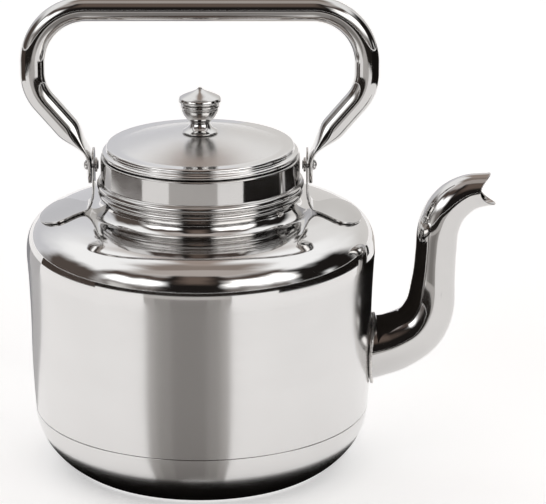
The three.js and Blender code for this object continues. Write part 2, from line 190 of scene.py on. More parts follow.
def inner_side(outer, thickness=SHEET):
    """The outline moved inwards by the sheet's thickness, in reverse order."""
    moved = []
    for i, (r, z) in enumerate(outer):
        before = outer[max(i - 1, 0)]
        after = outer[min(i + 1, len(outer) - 1)]
        dr = after[0] - before[0]
        dz = after[1] - before[1]
        length = math.hypot(dr, dz)
        moved.append((r - dz / length * thickness, z + dr / length * thickness))
    return moved[::-1]


def wall_radius(z):
    if z < WAIST_Z:
        return WALL_RADIUS - (WALL_RADIUS - SEAM_RADIUS) * ((WAIST_Z - z) / (WAIST_Z - SEAM_Z)) ** 2
    return WALL_RADIUS + (SHOULDER_RADIUS - WALL_RADIUS) * ((z - WAIST_Z) / (SHOULDER_Z - WAIST_Z)) ** 2


SHOULDER = bezier(
    (SHOULDER_RADIUS, SHOULDER_Z), (SHOULDER_RADIUS, 165.7), (118, 181.5), (NECK_RADIUS, NECK_ROOT_Z), 400
)


def shoulder_height(radius):
    """Height of the shoulder's outer surface at a distance from the axis."""
    for (r0, z0), (r1, z1) in zip(SHOULDER, SHOULDER[1:]):
        if r1 <= radius:
            return lerp(z0, z1, (r0 - radius) / (r0 - r1) if r0 > r1 else 0)
    return SHOULDER[-1][1]


# ---------------------------------------------------------------- meshes


def turned(outline, segments=ROUND):
    """Vertices and faces of a closed outline of (radius, height) points turned about Z."""
    vertices, faces, rings = [], [], []
    for r, z in outline:
        count = segments if r > 1e-6 else 1
        rings.append(range(len(vertices), len(vertices) + count))
        for j in range(count):
            a = 2 * math.pi * j / segments
            vertices.append((r * math.cos(a), r * math.sin(a), z))
    for low, high in zip(rings, rings[1:] + rings[:1]):
        if len(low) == len(high) == 1:
            continue
        for j in range(segments):
            k = (j + 1) % segments
            corners = [low[j % len(low)], low[k % len(low)], high[k % len(high)], high[j % len(high)]]
            faces.append(list(dict.fromkeys(corners)))
    return vertices, faces


def skinned(rings, loop=False):
    """Vertices and faces of a skin over equal rings, with capped ends or joined into a loop."""
    size = len(rings[0])
    vertices = [p for ring in rings for p in ring]
    faces = []
    for i in range(len(rings) if loop else len(rings) - 1):
        a = i * size
        b = (i + 1) % len(rings) * size
        for j in range(size):
            k = (j + 1) % size
            faces.append([a + j, a + k, b + k, b + j])
    if not loop:
        faces.append(list(range(size))[::-1])
        faces.append(list(range(len(vertices) - size, len(vertices))))
    return vertices, faces


def half_turn(shape):
    """The same shape turned half round the kettle's axis."""
    vertices, faces = shape
    return [(-x, -y, z) for x, y, z in vertices], faces


def about_pivot(shape):
    """A shape turned about Z, laid along X on the pivot line."""
    vertices, faces = shape
    return [(z, y, PIVOT_Z - x) for x, y, z in vertices], faces


def mesh_object(name, shape):
    vertices, faces = shape
    mesh = bpy.data.meshes.new(name)
    mesh.from_pydata([[c * MM for c in v] for v in vertices], [], faces)
    obj = bpy.data.objects.new(name, mesh)
    bpy.context.scene.collection.objects.link(obj)
    return obj


def finished_mesh(obj):
    """Faces pointing outwards and shaded smooth, with an edge kept only where the surface turns sharply."""
    work = bmesh.new()
    work.from_mesh(obj.data)
    bmesh.ops.recalc_face_normals(work, faces=work.faces)
    work.to_mesh(obj.data)
    work.free()
    obj.data.shade_smooth()
    obj.data.set_sharp_from_angle(angle=math.radians(SHARP_ANGLE))


def bored(obj, tool_shape):
    """Cuts a hole in a piece with a closed tool shape, and leaves a plain mesh."""
    finished_mesh(obj)
    tool = mesh_object(f"{obj.name}_drill", tool_shape)
    finished_mesh(tool)
    hole = obj.modifiers.new("hole", "BOOLEAN")
    hole.object = tool
    hole.operation = "DIFFERENCE"
    hole.solver = "EXACT"
    depsgraph = bpy.context.evaluated_depsgraph_get()
    result = bpy.data.meshes.new_from_object(obj.evaluated_get(depsgraph))
    obj.modifiers.clear()
    obj.data = result
    bpy.data.objects.remove(tool)


def drill(radius, x_from, x_to):
    """A tool along X on the pivot line."""
    outline = [(0, x_from), (radius, x_from), (radius, x_to), (0, x_to)]
    return about_pivot(turned(outline, 48))


def piece(node, shape, material, body, tool=None):
    """A fine surface that stands for one CAD node: same place, same body, same material slot."""
    obj = mesh_object(f"{node}_surface", shape)
    if tool:
        bored(obj, tool)
    finished_mesh(obj)
    obj.data.materials.clear()
    obj.data.materials.append(material)
    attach(obj, body)
    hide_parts(node)


# ---------------------------------------------------------------- materials


def add_node(tree, kind, inputs=None, **settings):
    """A node with its settings and inputs: an input is a constant, or an output socket to link."""
    made = tree.nodes.new(kind)
    for key, value in settings.items():
        setattr(made, key, value)
    for key, value in (inputs or {}).items():
        if isinstance(value, bpy.types.NodeSocket):
            tree.links.new(value, made.inputs[key])
        else:
            made.inputs[key].default_value = value
    return made


def remap(tree, value, low, high, to_low, to_high, kind="LINEAR"):
    inputs = {"Value": value, "From Min": low, "From Max": high, "To Min": to_low, "To Max": to_high}
    return add_node(tree, "ShaderNodeMapRange", inputs, interpolation_type=kind).outputs["Result"]


def noise(tree, vector, scale, detail=3.0, rough=0.5):
    inputs = {"Vector": vector, "Scale": scale, "Detail": detail, "Roughness": rough}
    return add_node(tree, "ShaderNodeTexNoise", inputs).outputs["Fac"]


def maths(tree, operation, a, b=0.0):
    return add_node(tree, "ShaderNodeMath", {0: a, 1: b}, operation=operation).outputs[0]


def new_material(name, slot=None):
    material = bpy.data.materials.new(name)
    if slot:
        material["slot"] = slot
    material.use_nodes = True
    material.node_tree.nodes.clear()
    return material, material.node_tree


def steel(tree, colour, roughness, height, bump_distance, anisotropic=0.0, tangent=None):
    """The shader of a bare steel surface, given its varying colour, roughness and relief."""
    bump = add_node(tree, "ShaderNodeBump", {"Height": height, "Distance": bump_distance, "Strength": 1.0})
    inputs = {
        "Base Color": colour,
        "Metallic": 1.0,
        "Roughness": roughness,
        "Normal": bump.outputs["Normal"],
        "Anisotropic": anisotropic,
    }
    if tangent:
        inputs["Anisotropic Rotation"] = 0.25
        inputs["Tangent"] = tangent
    shader = add_node(tree, "ShaderNodeBsdfPrincipled", inputs)
    add_node(tree, "ShaderNodeOutputMaterial", {"Surface": shader.outputs["BSDF"]})


def tinted(tree, factor, first, second):
    """The first colour where the factor is 0, the second where it is 1: each a constant or a socket."""
    mix = add_node(tree, "ShaderNodeMix", None, data_type="RGBA")
    tree.links.new(factor, mix.inputs[0])
    sockets = [s for s in mix.inputs if s.type == "RGBA"]
    for socket, colour in zip(sockets, (first, second)):
        if isinstance(colour, bpy.types.NodeSocket):
            tree.links.new(colour, socket)
        else:
            socket.default_value = (*colour, 1.0)
    return next(s for s in mix.outputs if s.type == "RGBA")


def object_place(tree):
    return add_node(tree, "ShaderNodeTexCoord").outputs["Object"]


def stretched(tree, vector, scale):
    inputs = {"Vector": vector, "Scale": scale}
    return add_node(tree, "ShaderNodeMapping", inputs).outputs["Vector"]


def scratches(tree, place, turn, scale):
    """Hair-fine polishing scratches along one direction, from 0 to 1."""
    inputs = {"Vector": place, "Rotation": turn, "Scale": (scale, scale * 0.02, scale)}
    line = add_node(tree, "ShaderNodeMapping", inputs).outputs["Vector"]
    return remap(tree, noise(tree, line, 6.0, 2.0), 0.62, 0.75, 0.0, 1.0, "SMOOTHSTEP")


SATIN_DARK = (0.72, 0.713, 0.706)
SATIN_LIGHT = (0.765, 0.759, 0.753)
MIRROR_DARK = (0.6, 0.592, 0.583)
MIRROR_LIGHT = (0.65, 0.643, 0.635)

# Where the brushed steel gives way to buffed steel, in metres as the material nodes need.
FOOT_BUFFED_Z = (0.006, 0.022)
SHOULDER_BUFFED_Z = (0.143, 0.157)
LID_BUFFED_RADIUS = (0.0545, 0.057)


def mirror_steel(name, haze):
    """Buffed sheet: a mirror with faint smudges, hairline scratches and the slow wave of pressed metal."""
    material, tree = new_material(name, "mirror_steel")
    place = object_place(tree)
    smudge = noise(tree, place, 38.0, 4.0, 0.6)
    hair = scratches(tree, place, (0.3, 0.5, 0.9), 220.0)
    wave = noise(tree, place, 16.0, 1.0)
    soft = remap(tree, smudge, 0.35, 0.7, haze, haze + 0.05)
    rough = maths(tree, "ADD", soft, maths(tree, "MULTIPLY", hair, 0.035))
    height = maths(tree, "ADD", wave, maths(tree, "MULTIPLY", hair, 0.008))
    colour = tinted(tree, smudge, MIRROR_DARK, MIRROR_LIGHT)
    steel(tree, colour, rough, height, 0.00012)
    return material


def brushed(tree, place, buffed, grain_scale, satin_rough, anisotropic):
    """Sheet that is brushed round the axis where buffed is 0, and a mirror where it is 1."""
    grain = noise(tree, stretched(tree, place, grain_scale), 1.0, 3.0, 0.6)
    smudge = noise(tree, place, 30.0, 4.0, 0.55)
    wave = noise(tree, place, 15.0, 1.0)
    satin = remap(tree, grain, 0.3, 0.7, *satin_rough)
    mirror = remap(tree, smudge, 0.35, 0.7, 0.04, 0.085)
    mix = add_node(tree, "ShaderNodeMix", {"Factor": buffed, "A": satin, "B": mirror})
    brush = maths(tree, "MULTIPLY", maths(tree, "SUBTRACT", 1.0, buffed), grain)
    relief = maths(tree, "ADD", wave, maths(tree, "MULTIPLY", brush, 0.012))
    colour = tinted(tree, smudge, SATIN_DARK, SATIN_LIGHT)
    around = add_node(tree, "ShaderNodeTangent", None, direction_type="RADIAL", axis="Z")
    steel(tree, colour, mix.outputs["Result"], relief, 0.00014, anisotropic, around.outputs["Tangent"])


def satin_steel():
    """Body sheet: a satin wall with a fine grain round it, buffed over the shoulder and the foot."""
    material, tree = new_material("brushed_sheet", "satin_steel")
    place = object_place(tree)
    height_z = add_node(tree, "ShaderNodeSeparateXYZ", {"Vector": place}).outputs["Z"]
    shoulder = remap(tree, height_z, *SHOULDER_BUFFED_Z, 0.0, 1.0, "SMOOTHSTEP")
    foot = remap(tree, height_z, *FOOT_BUFFED_Z, 1.0, 0.0, "SMOOTHSTEP")
    buffed = maths(tree, "MAXIMUM", shoulder, foot)
    brushed(tree, place, buffed, (6.0, 6.0, 2600.0), (0.2, 0.25), 0.6)
    return material


def lid_steel():
    """Lid: the crown is left brushed from turning, and its rolled rim is buffed."""
    material, tree = new_material("turned_lid", "mirror_steel")
    place = object_place(tree)
    flat = add_node(tree, "ShaderNodeVectorMath", {0: place, 1: (1.0, 1.0, 0.0)}, operation="MULTIPLY")
    radius = add_node(tree, "ShaderNodeVectorMath", {0: flat.outputs[0]}, operation="LENGTH")
    buffed = remap(tree, radius.outputs["Value"], *LID_BUFFED_RADIUS, 0.0, 1.0, "SMOOTHSTEP")
    brushed(tree, place, buffed, (90.0, 90.0, 90.0), (0.22, 0.27), 0.3)
    return material


def rivet_steel():
    """Cold-headed fasteners: tumbled, slightly duller than the sheet."""
    material, tree = new_material("tumbled_rivet", "rivet_steel")
    place = object_place(tree)
    tumble = noise(tree, place, 900.0, 3.0, 0.6)
    rough = remap(tree, tumble, 0.3, 0.7, 0.16, 0.3)
    colour = tinted(tree, tumble, (0.64, 0.63, 0.62), (0.74, 0.735, 0.73))
    steel(tree, colour, rough, tumble, 0.00003)
    return material


def weld_steel():
    """Brushed weld metal, with a little heat colour left in the valleys."""
    material, tree = new_material("brushed_weld", "weld_steel")
    place = object_place(tree)
    patch = noise(tree, place, 260.0, 4.0, 0.6)
    rough = remap(tree, patch, 0.3, 0.7, 0.2, 0.42)
    colour = tinted(tree, patch, (0.58, 0.55, 0.52), (0.76, 0.755, 0.75))
    steel(tree, colour, rough, patch, 0.00008)
    return material


# ---------------------------------------------------------------- body


def base_pan():
    corner = bezier(
        (BASE_RADIUS, 0), (103, 8), (SEAM_RADIUS - 0.2, 24), (SEAM_RADIUS, SEAM_Z - GAP / 2), 40
    )
    underside = [(0, 0.5), (BASE_HOLLOW, 0.5), (BASE_HOLLOW + 4, 0), (BASE_RADIUS, 0)]
    outer = eased(underside, 3, closed=False)[:-1] + corner
    inner = inner_side(corner)
    inner[0] = (inner[0][0], SEAM_Z - GAP / 2)
    return turned(eased([*outer, *inner, (0, SHEET + 0.6)], EDGE))


def body_shell():
    outer = [(wall_radius(z), z) for z in spread(SEAM_Z + GAP / 2, SHOULDER_Z - 1, 44)]
    turn = NECK_RADIUS + NECK_FILLET
    outer += [p for p in SHOULDER[::8] if p[0] > turn + 0.5]
    outer += arc(turn, shoulder_height(turn) + NECK_FILLET, NECK_FILLET, 270, 180)
    outer.append((NECK_RADIUS, NECK_TOP_Z))
    inner = inner_side(outer)
    inner[-1] = (inner[-1][0], SEAM_Z + GAP / 2)
    inner[0] = (inner[0][0], NECK_TOP_Z)
    return turned(eased(outer + inner, EDGE))


def spout_drill():
    """Tool for the hole in the wall behind the spout, tilted as the spout's root is."""
    reach = 15
    outline = [(0, -reach), (SPOUT_HOLE, -reach), (SPOUT_HOLE, reach), (0, reach)]
    vertices, faces = turned(outline, FINE)
    x0, z0 = SPOUT_ROOT
    sine = math.sin(SPOUT_TILT)
    cosine = math.cos(SPOUT_TILT)
    return [(x0 - x * sine + z * cosine, y, z0 + x * cosine + z * sine) for x, y, z in vertices], faces


def bead(size, root):
    """Outline of a rolled bead that stands out from the radius of its root."""
    radius, z, half = size
    steps = [math.sin(math.radians(a)) for a in spread(-84, 84, 18)]
    return [(root + (radius - root) * math.sqrt(1 - t * t), z + t * half) for t in steps]


def neck_collar():
    sleeve = NECK_RADIUS + GAP
    outline = [
        (sleeve, COLLAR_FOOT_Z),
        (sleeve + SHEET, COLLAR_FOOT_Z),
        *bead(LOWER_BEAD, BAND_RADIUS),
        *bead(UPPER_BEAD, BAND_RADIUS + 0.4),
        (BAND_RADIUS, BAND_FOOT_Z),
        *arc(BAND_RADIUS - 1.1, BAND_TOP_Z - 1.1, 1.1, 0, 90),
        (MOUTH_RADIUS, BAND_TOP_Z),
        (MOUTH_RADIUS, BAND_TOP_Z - SHEET),
        (BAND_RADIUS - SHEET, BAND_TOP_Z - SHEET - 1),
        (BAND_RADIUS - SHEET, NECK_TOP_Z),
        (sleeve, NECK_TOP_Z - 1),
    ]
    return turned(eased(outline, 0.45))


# ---------------------------------------------------------------- lid and knob


def crown_height(radius):
    """Height of the lid's outer surface, flat in the middle and falling faster towards the rim."""
    t = max(radius - LID_SEAT_RADIUS, 0) / (CROWN_RADIUS - LID_SEAT_RADIUS)
    return LID_RIM_Z + (LID_APEX_Z - LID_RIM_Z) * (1 - t ** 1.5)


def lid_shell():
    crown = spread(SCREW_HOLE, CROWN_RADIUS, 48)
    rim = [
        (SKIRT_RADIUS - 4.5, LID_RIM_Z - 0.3),
        (SKIRT_RADIUS + 0.5, LID_RIM_Z),
        *arc(62.2, 224.7, 1.9, 60, -30),
        (64.3, 222.9),
        *arc(65.5, 221, 1.5, 80, -70),
    ]
    under = [
        (65, LID_FOOT_Z),
        (64.9, 221.3),
        (63.1, 222.3),
        (62.9, 224.3),
        (61.7, 225.5),
        (SKIRT_RADIUS - 4.5, LID_RIM_Z - 1.2),
    ]
    top = [(r, crown_height(r)) for r in crown]
    bottom = [(r, crown_height(r) - SHEET) for r in crown[::-1]]
    return turned(eased(top + rim + under + bottom, 0.8))


def lid_skirt():
    top = LID_RIM_Z - SHEET - 0.6
    inside = SKIRT_RADIUS - SHEET
    outline = [(SKIRT_RADIUS, SKIRT_FOOT_Z), (SKIRT_RADIUS, top), (inside, top), (inside, SKIRT_FOOT_Z)]
    return turned(eased(outline, EDGE))


def knob_foot():
    top = KNOB_WAIST_Z - GAP
    return turned(eased([
        (SCREW_HOLE, KNOB_FOOT_Z),
        (11.6, KNOB_FOOT_Z),
        (12.3, KNOB_FOOT_Z + 0.6),
        *bezier((11.9, 235.9), (9.6, 237), (7.6, 238.6), (6.7, top), 14),
        (SCREW_HOLE, top),
    ], 0.3), FINE)


def knob_bowl():
    blind_end = BOWL_TOP_Z - 3.5
    return turned(eased([
        (SCREW_HOLE, KNOB_WAIST_Z),
        *bezier((6.6, KNOB_WAIST_Z), (8.8, 243.6), (11.6, 246.8), (12.6, 251.2), 18),
        (12.4, 252.2),
        (13.4, 253.1),
        (13.2, 254.3),
        (12.4, BOWL_TOP_Z),
        (0, BOWL_TOP_Z),
        (0, blind_end),
        (SCREW_HOLE, blind_end),
    ], 0.4), FINE)


def knob_cap():
    foot = BOWL_TOP_Z + GAP
    return turned(eased([
        (0, foot),
        (13, foot),
        (14.4, 256.4),
        (14.6, 257.8),
        *bezier((13.9, 259.2), (10.5, 261.4), (5.5, 262.6), (1.9, 264.9), 14),
        (1.3, KNOB_TOP_Z - 0.4),
        (0, KNOB_TOP_Z),
    ], 0.9), FINE)


def knob_washer():
    foot = LID_UNDERSIDE_Z - 1
    outline = [(SCREW_HOLE, foot), (6, foot), (6, LID_UNDERSIDE_Z), (SCREW_HOLE, LID_UNDERSIDE_Z)]
    return turned(eased(outline, 0.25), FINE)


def knob_screw():
    seat = LID_UNDERSIDE_Z - 1 - GAP
    return turned(eased([
        (0, seat - 2.6),
        (3, seat - 2.4),
        (4, seat - 1.2),
        (4, seat),
        (SCREW_RADIUS, seat),
        (SCREW_RADIUS, BOWL_TOP_Z - 5),
        (0, BOWL_TOP_Z - 4.4),
    ], 0.5), FINE)


def screw_slot():
    """Tool for the slot across the screw's head."""
    low = LID_UNDERSIDE_Z - 1 - GAP - 4
    high = low + 2.4
    ring = [(-0.5, -5), (0.5, -5), (0.5, 5), (-0.5, 5)]
    return skinned([[(x, y, z) for x, y in ring] for z in (low, high)])


# ---------------------------------------------------------------- handle, brackets and rivets


def handle_half_path():
    """Right half of the handle's centre line in the XZ plane, from the bar's middle to the tab's foot."""
    path = [(x, HANDLE_BAR_Z) for x in spread(0, HANDLE_BAR_X, 38)]
    path += arc(HANDLE_BAR_X, HANDLE_BAR_Z - HANDLE_CORNER, HANDLE_CORNER, 90, 0, 36)[1:]
    path += arc(*HANDLE_CHEEK, 0, HANDLE_CHEEK_END, 16)
    end_x, end_z = path[-1]
    knee_x, knee_z = HANDLE_KNEE
    path += [(lerp(end_x, knee_x, t), lerp(end_z, knee_z, t)) for t in spread(0, 1, 20)][1:]
    for t in spread(0, 1, 16)[1:]:
        x = knee_x * (1 - t) ** 2 + TAB_X * (2 * t * (1 - t) + t * t)
        z = knee_z * (1 - t) ** 2 + 220 * 2 * t * (1 - t) + 213 * t * t
        path.append((x, z))
    round_end = TAB_FOOT_Z + TAB_HALF_WIDTH
    path += [(TAB_X, z) for z in (212, round_end)]
    drops = [1 - math.cos(math.radians(a)) for a in spread(84, 4, 16)]
    path += [(TAB_X, TAB_FOOT_Z + TAB_HALF_WIDTH * d) for d in drops]
    return path


def handle_ring(centre, normal, sides=56):
    """One ring of the tube: round on the bar, pressed flat towards the tab, round at the tab's foot."""
    x, z = centre
    flat = 1 - smoothstep(z, *FLATTENING_Z)
    from_foot = z - TAB_FOOT_Z
    thick = lerp(HANDLE_RADIUS, TAB_HALF_THICKNESS, flat)
    wide = lerp(HANDLE_RADIUS, TAB_HALF_WIDTH, flat)
    if from_foot < TAB_HALF_WIDTH:
        wide *= math.sqrt(max(1 - ((TAB_HALF_WIDTH - from_foot) / TAB_HALF_WIDTH) ** 2, 0))
    if from_foot < TAB_HALF_THICKNESS:
        thick *= math.sqrt(max(1 - (1 - from_foot / TAB_HALF_THICKNESS) ** 2, 0.02))
    power = lerp(1, 0.3, flat)
    ring = []
    for i in range(sides):
        a = 2 * math.pi * (i + 0.5) / sides
        across = math.copysign(abs(math.cos(a)) ** power, math.cos(a)) * thick
        ring.append((x + normal[0] * across, wide * math.sin(a), z + normal[1] * across))
    return ring


def handle_tube():
    half = handle_half_path()
    full = [(-x, z) for x, z in half[:0:-1]] + half
    rings = []
    for i, centre in enumerate(full):
        before = full[max(i - 1, 0)]
        after = full[min(i + 1, len(full) - 1)]
        dx = after[0] - before[0]
        dz = after[1] - before[1]
        length = math.hypot(dx, dz)
        rings.append(handle_ring(centre, (-dz / length, dx / length)))
    return skinned(rings)


def bracket_stations():
    """Centre line of the bracket plate: down the tab, round the bend, and out along the shoulder."""
    stations = []
    top = [1 - math.cos(math.radians(a)) for a in spread(8, 90, 14)]
    heights = [BRACKET_TOP_Z - PLATE_HALF_WIDTH * t for t in top]
    for z in heights + spread(211, BRACKET_FOOT_Z, 8):
        stations.append((BRACKET_X, z, 0, 0))
    landing = BRACKET_X + BRACKET_BEND
    for turn in spread(0, 1, 18)[1:]:
        angle = math.pi + turn * (math.pi / 2 + BRACKET_SLOPE)
        x = landing + BRACKET_BEND * math.cos(angle)
        z = BRACKET_FOOT_Z + BRACKET_BEND * math.sin(angle)
        stations.append((x, z, angle - math.pi, smoothstep(turn, 0, 1)))
    lie = math.pi / 2 + BRACKET_SLOPE
    tip = [LEAF_X + (LEAF_TIP_X - LEAF_X) * math.sin(math.radians(a)) for a in spread(0, 86, 22)]
    for x in spread(LEAF_START_X, LEAF_X, 10)[:-1] + tip:
        stations.append((x, 0, lie, 1))
    return stations


def bracket_half_width(x, z):
    """Half the width of the plate: round at the top, even down the tab, then widening into the leaf."""
    if x <= BRACKET_X:
        from_top = BRACKET_TOP_Z - z
        if from_top > PLATE_HALF_WIDTH:
            return PLATE_HALF_WIDTH
        return math.sqrt(PLATE_HALF_WIDTH ** 2 - (PLATE_HALF_WIDTH - from_top) ** 2)
    if x < LEAF_X:
        return lerp(PLATE_HALF_WIDTH, LEAF_HALF_WIDTH, smoothstep(x, BRACKET_X + 4, LEAF_X))
    to_tip = (x - LEAF_X) / (LEAF_TIP_X - LEAF_X)
    return LEAF_HALF_WIDTH * math.sqrt(max(1 - to_tip ** 2, 0))


def bracket_ring(station):
    """One ring across the plate, with rounded edges."""
    x, z, angle, pad = station
    thick = BRACKET_THICKNESS / 2
    half = max(bracket_half_width(x, z), thick * 1.05) - thick
    lift = thick + GAP + 0.15
    section = [(y, thick) for y in spread(-half, half, 30)]
    section += [(half + p, q) for p, q in arc(0, 0, thick, 90, -90, 8)[1:-1]]
    section += [(y, -thick) for y in spread(half, -half, 30)]
    section += [(-half + p, q) for p, q in arc(0, 0, thick, 270, 90, 8)[1:-1]]
    ring = []
    for y, out in section:
        seat = shoulder_height(max(math.hypot(x, y), NECK_RADIUS + 1)) + lift
        level = max(lerp(z, seat, pad), seat) if z else seat
        ring.append((x + out * math.cos(angle), y, level + out * math.sin(angle)))
    return ring


def bracket():
    return skinned([bracket_ring(station) for station in bracket_stations()])


def rivet():
    head_x = TAB_X + TAB_HALF_THICKNESS + GAP
    return about_pivot(turned(eased([
        (0, BURR_X - 2.5),
        (RIVET_HEAD - 0.6, BURR_X - 2.4),
        (RIVET_HEAD - 0.2, BURR_X - 1.5 - GAP),
        (RIVET_RADIUS, BURR_X - 1.5 - GAP),
        (RIVET_RADIUS, head_x),
        (RIVET_HEAD, head_x),
        *[(RIVET_HEAD * math.cos(a), head_x + 0.4 + 2.3 * math.sin(a)) for a in spread(0, math.pi / 2, 14)],
    ], 0.25), FINE))


def burr():
    foot = BURR_X - 1.5
    outline = [(RIVET_HOLE, foot), (BURR_RADIUS, foot), (BURR_RADIUS, BURR_X), (RIVET_HOLE, BURR_X)]
    return about_pivot(turned(eased(outline, 0.4), FINE))


# ---------------------------------------------------------------- spout

SPOUT_POINTS = [
    SPOUT_ROOT, (134, 84.3), (149.5, 94), (157.2, 107.5), (160, 128),
    (161.5, 150), (163, 167), (169.5, 181.5), (182, 191.2), (200, 194.6),
]
SPOUT_STEPS = 40                # samples between two points of the spout's centre line


def centripetal(points, steps):
    """A smooth curve through the points (centripetal Catmull-Rom), with its ends extended straight."""
    first = Vector(points[0]) * 2 - Vector(points[1])
    last = Vector(points[-1]) * 2 - Vector(points[-2])
    whole = [first, *[Vector(p) for p in points], last]
    curve = []
    for p0, p1, p2, p3 in zip(whole, whole[1:], whole[2:], whole[3:]):
        t1 = (p1 - p0).length ** 0.5
        t2 = t1 + (p2 - p1).length ** 0.5
        t3 = t2 + (p3 - p2).length ** 0.5
        for t in spread(t1, t2, steps)[:-1]:
            a1 = p0.lerp(p1, t / t1)
            a2 = p1.lerp(p2, (t - t1) / (t2 - t1))
            a3 = p2.lerp(p3, (t - t2) / (t3 - t2))
            b1 = a1.lerp(a2, t / t2)
            b2 = a2.lerp(a3, (t - t1) / (t3 - t1))
            curve.append(b1.lerp(b2, (t - t1) / (t2 - t1)))
    return curve + [whole[-2]]


SPOUT_CURVE = centripetal(SPOUT_POINTS, SPOUT_STEPS)
SPOUT_LENGTHS = [0.0]
for here, there in zip(SPOUT_CURVE, SPOUT_CURVE[1:]):
    SPOUT_LENGTHS.append(SPOUT_LENGTHS[-1] + (there - here).length)
SPOUT_LENGTH = SPOUT_LENGTHS[-1]


def spout_centre(u):
    """Point and direction on the spout's centre line at a fraction u of its length."""
    target = u * SPOUT_LENGTH
    i = 1
    while i < len(SPOUT_LENGTHS) - 1 and SPOUT_LENGTHS[i] < target:
        i += 1
    t = (target - SPOUT_LENGTHS[i - 1]) / (SPOUT_LENGTHS[i] - SPOUT_LENGTHS[i - 1])
    before = SPOUT_CURVE[max(i - 2, 0)]
    after = SPOUT_CURVE[min(i + 1, len(SPOUT_CURVE) - 1)]
    return SPOUT_CURVE[i - 1].lerp(SPOUT_CURVE[i], t), (after - before).normalized()


def spout_radius(t):
    """Radius of the tube: widest at its root, slim along the neck, with a slight swell behind the lip."""
    root = SPOUT_ROOT_FLARE * math.exp(-(((t + 0.05) / 0.5) ** 2))
    swell = SPOUT_SWELL * smoothstep(t, 0.45, 0.75) * (1 - smoothstep(t, 0.8, 1))
    return SPOUT_SLIM_RADIUS + root + swell


def spout_point(t, a, shrink=0.0, push=0.0):
    """A point on the spout at fraction t of its length and angle a round it."""
    notch = LIP_NOTCH * math.sin(a) ** 2 / SPOUT_LENGTH
    centre, along = spout_centre(t * (1 - notch))
    radius = spout_radius(t) - shrink
    out = radius * math.cos(a)
    x = centre.x - along.y * out + along.x * push
    z = centre.y + along.x * out + along.y * push
    return x, radius * math.sin(a), z


def spout_root_point(a, shrink=0.0):
    """The root ring slid along the spout's own direction until it stands just clear of the wall."""
    x, y, z = spout_point(0, a, shrink)
    along = spout_centre(0)[1]
    for _ in range(12):
        clear = wall_radius(z) + GAP - math.hypot(x, y)
        x += clear
        z += clear * along.y / along.x
    return x, y, z


def spout():
    """Open tube of even wall, with a rounded lip at the beak and a root cut to fit the wall."""
    angles = [2 * math.pi * j / SPOUT_SIDES for j in range(SPOUT_SIDES)]
    rings = []
    half = SPOUT_WALL / 2
    stations = spread(0.008, 1, 150)
    for shrink, order in ((0, stations), (SPOUT_WALL, stations[::-1])):
        if not shrink:
            rings.append([spout_root_point(a, shrink) for a in angles])
        for t in order:
            rings.append([spout_point(t, a, shrink, -half * smoothstep(t, 0.9, 1)) for a in angles])
        if not shrink:
            for turn in (30, 60, 90, 120, 150):
                swing = math.radians(turn)
                depth = half - half * math.cos(swing)
                rings.append([spout_point(1, a, depth, half * (math.sin(swing) - 1)) for a in angles])
    rings.append([spout_root_point(a, SPOUT_WALL) for a in angles])
    return skinned(rings, True)


def spout_weld():
    """Bead of weld metal in the corner between wall and spout, laid down in overlapping ripples."""
    stand = WELD_RADIUS + GAP + 0.1
    steps = WELD_RIPPLES * RIPPLE_STEPS
    line = []
    for j in range(steps):
        x, y, z = spout_root_point(2 * math.pi * j / steps, -stand)
        scale = 1 + stand / math.hypot(x, y)
        line.append(Vector((x * scale, y * scale, z)))
    middle = sum(line, Vector()) / steps
    rings = []
    for j, centre in enumerate(line):
        along = (line[(j + 1) % steps] - line[j - 1]).normalized()
        out = (centre - middle).normalized()
        side = along.cross(out).normalized()
        ripple = abs(math.sin(math.pi * (j + 0.5) / RIPPLE_STEPS))
        radius = WELD_RADIUS * (0.8 + 0.2 * ripple ** 0.5)
        ring = []
        for i in range(20):
            a = 2 * math.pi * i / 20
            ring.append(tuple(centre + (out * math.cos(a) + side * math.sin(a)) * radius))
        rings.append(ring)
    return skinned(rings, True)


# ---------------------------------------------------------------- assembly


def build_kettle():
    satin = satin_steel()
    mirror = mirror_steel("buffed_sheet", 0.035)
    hazy = mirror_steel("spun_sheet", 0.07)
    rivets = rivet_steel()
    weld = weld_steel()
    turned_lid = lid_steel()
    piece("base_pan", base_pan(), satin, "kettle_body")
    piece("body_shell", body_shell(), satin, "kettle_body", spout_drill())
    piece("neck_collar", neck_collar(), hazy, "kettle_body")
    piece("spout", spout(), mirror, "kettle_body")
    piece("spout_weld_bead", spout_weld(), weld, "kettle_body")
    plate_hole = drill(RIVET_HOLE, BRACKET_X - 5, BRACKET_X + 5)
    both_tabs_hole = drill(RIVET_HOLE, -100, 100)
    for side, turn in (("right", lambda shape: shape), ("left", half_turn)):
        piece(f"handle_bracket_{side}", turn(bracket()), mirror, "kettle_body", turn(plate_hole))
        piece(f"handle_rivet_{side}", turn(rivet()), rivets, "kettle_body")
        piece(f"rivet_burr_{side}", turn(burr()), rivets, "kettle_body")
    piece("handle_tube", handle_tube(), mirror, "handle", both_tabs_hole)
    piece("lid_shell", lid_shell(), turned_lid, "lid")
    piece("lid_skirt", lid_skirt(), mirror, "lid")
    piece("knob_foot", knob_foot(), mirror, "lid")
    piece("knob_bowl", knob_bowl(), mirror, "lid")
    piece("knob_cap", knob_cap(), mirror, "lid")
    piece("knob_washer", knob_washer(), rivets, "lid")
    piece("knob_screw", knob_screw(), rivets, "lid", screw_slot())


# ---------------------------------------------------------------- floor, light and camera


TABLE_GLOW = 0.41               # the floor is a light table, lit a little from below
TABLE_REACH = 2e4               # from its middle to each edge


